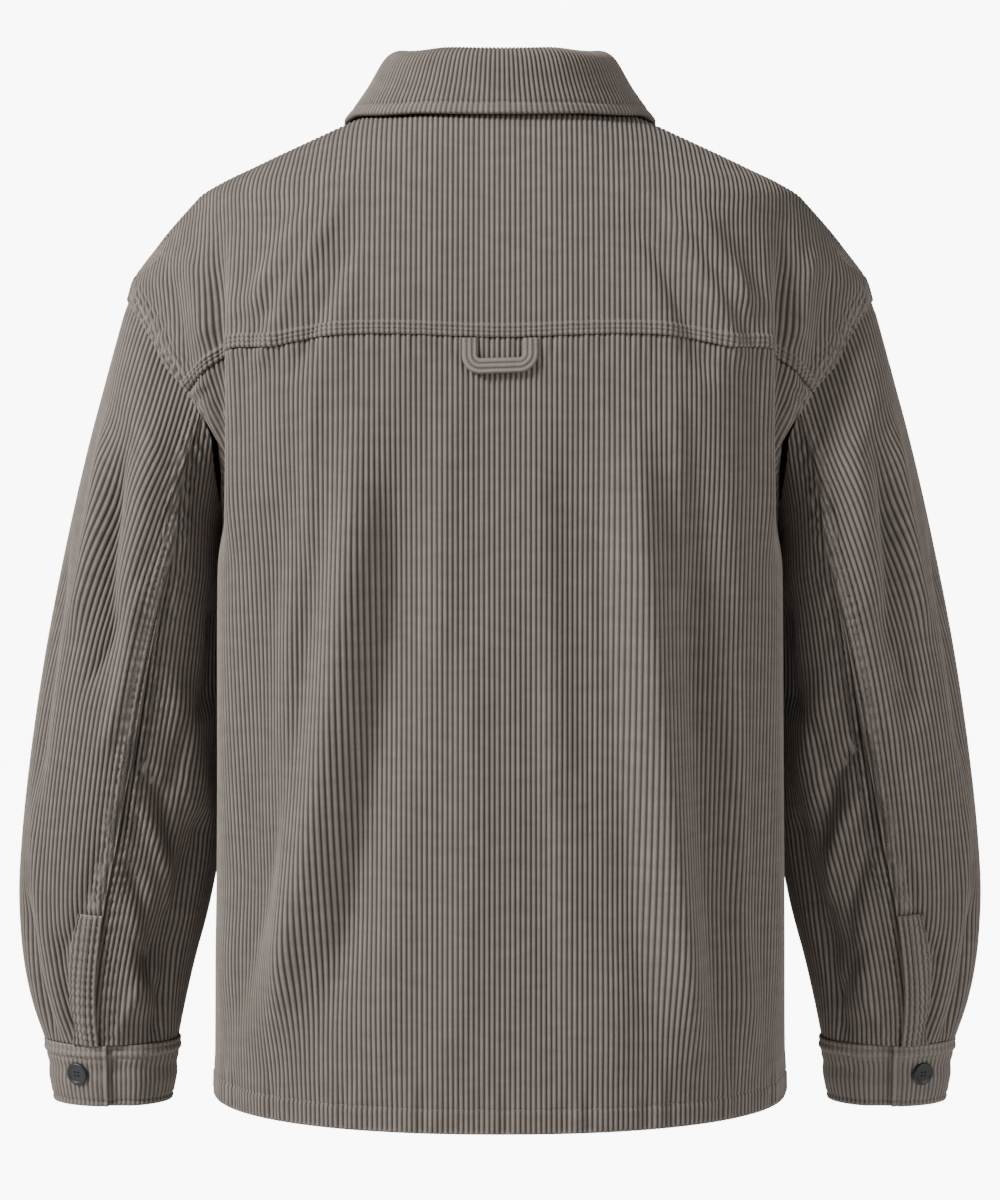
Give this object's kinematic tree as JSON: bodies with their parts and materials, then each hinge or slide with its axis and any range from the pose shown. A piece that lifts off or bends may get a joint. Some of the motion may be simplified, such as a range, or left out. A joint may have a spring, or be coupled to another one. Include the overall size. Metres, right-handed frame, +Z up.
{
  "type": "corduroy overshirt jacket",
  "caption": "Loose wide-wale corduroy overshirt, filled out as if worn: turned-down collar, back yoke with hanging loop, drop shoulders, long sleeves with buttoned cuffs.",
  "frame": {"origin": "side-neck height on the middle plane, where the wearer's neck holds the garment up", "axes": "+Z up, +Y the garment's back, +X the wearer's left"},
  "size_m": [0.7416, 0.3007, 0.8005],
  "materials": {
    "corduroy": "cut-pile cotton corduroy, soft matt nap, seven wales an inch",
    "button": "dark slate resin, four holes, satin rim"
  },
  "bodies": {
    "root": {"back": "corduroy", "yoke": "corduroy", "front_left": "corduroy", "front_right": "corduroy", "front_placket": "corduroy", "collar_stand": "corduroy", "collar_fall": "corduroy", "locker_loop": "corduroy", "sleeve_top_left": "corduroy", "sleeve_top_right": "corduroy", "sleeve_under_left": "corduroy", "sleeve_under_right": "corduroy", "sleeve_placket_left": "corduroy", "sleeve_placket_right": "corduroy", "cuff_left": "corduroy", "cuff_right": "corduroy", "button_cuff_left": "button", "button_cuff_right": "button", "button_front_1": "button", "button_front_2": "button", "button_front_3": "button", "button_front_4": "button", "button_front_5": "button", "button_front_6": "button"}
  },
  "joints": []
}
